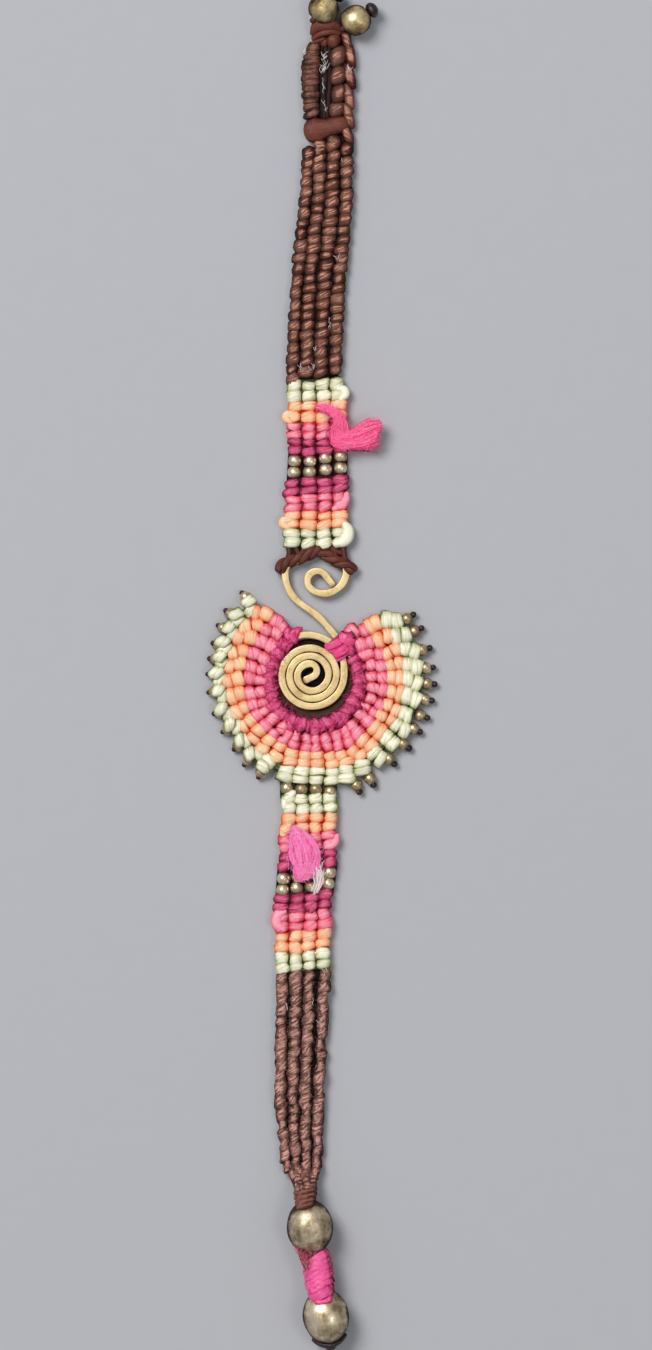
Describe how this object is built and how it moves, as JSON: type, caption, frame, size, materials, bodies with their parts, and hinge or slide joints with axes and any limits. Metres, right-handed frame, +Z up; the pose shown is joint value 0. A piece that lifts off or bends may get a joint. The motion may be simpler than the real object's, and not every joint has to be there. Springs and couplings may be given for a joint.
{
  "type": "macrame bracelet",
  "caption": "Knotted cord bracelet laid open: straps of coloured knots with brass beads, a coiled brass wire in a shell-shaped fan, a buttonhole loop and clasp beads.",
  "frame": {"origin": "centre of the bracelet's outline, on the surface it lies on", "axes": "+X across the bracelet, +Y along it towards the buttonhole loop, +Z up from the surface"},
  "size_m": [0.0374, 0.2178, 0.0074],
  "materials": {
    "brown_cord": "waxed, semi-matte",
    "green_cord": "satin",
    "orange_cord": "satin",
    "pink_cord": "satin",
    "magenta_cord": "satin, frayed",
    "loose_pink_fibre": "frayed fibres",
    "burnt_cord": "melted and charred",
    "antique_brass": "antiqued, worn"
  },
  "bodies": {
    "root": {"end_bead_left": "antique_brass", "end_bead_right": "antique_brass", "end_cord_left": "brown_cord", "end_cord_right": "brown_cord", "burnt_knot_left": "burnt_cord", "burnt_knot_right": "burnt_cord", "loop_top_wrap": "brown_cord", "loop_leg_left": "brown_cord", "loop_leg_inner": "brown_cord", "loop_leg_outer": "brown_cord", "loop_band": "brown_cord", "upper_strap": "brown_cord", "green_knots_1": "green_cord", "orange_knots_1": "orange_cord", "pink_knots_1": "pink_cord", "magenta_knots_1": "magenta_cord", "upper_spacer_beads": "antique_brass", "magenta_knots_2": "magenta_cord", "pink_knots_2": "pink_cord", "orange_knots_2": "orange_cord", "green_knots_2": "green_cord", "wire_hitch_left": "brown_cord", "wire_hitch_right": "brown_cord", "brass_wire": "antique_brass", "ring_wrap": "magenta_cord", "binding_wrap": "magenta_cord", "fan_pink": "pink_cord", "fan_orange": "orange_cord", "fan_green": "green_cord", "fan_green_loops": "green_cord", "fan_beads_left": "antique_brass", "fan_beads_right": "antique_brass", "fan_knots_left": "burnt_cord", "fan_knots_right": "burnt_cord", "fan_strap_beads": "antique_brass", "green_knots_3": "green_cord", "orange_knots_3": "orange_cord", "pink_knots_3": "pink_cord", "magenta_knots_3": "magenta_cord", "lower_spacer_beads": "antique_brass", "magenta_knots_4": "magenta_cord", "pink_knots_4": "pink_cord", "orange_knots_4": "orange_cord", "green_knots_4": "green_cord", "lower_strap": "brown_cord", "strap_neck": "brown_cord", "clasp_bead_first": "antique_brass", "clasp_core": "brown_cord", "clasp_wrap": "loose_pink_fibre", "clasp_bead_second": "antique_brass", "end_knot": "burnt_cord", "loose_fibre": "loose_pink_fibre", "loose_tuft": "loose_pink_fibre"}
  },
  "joints": []
}
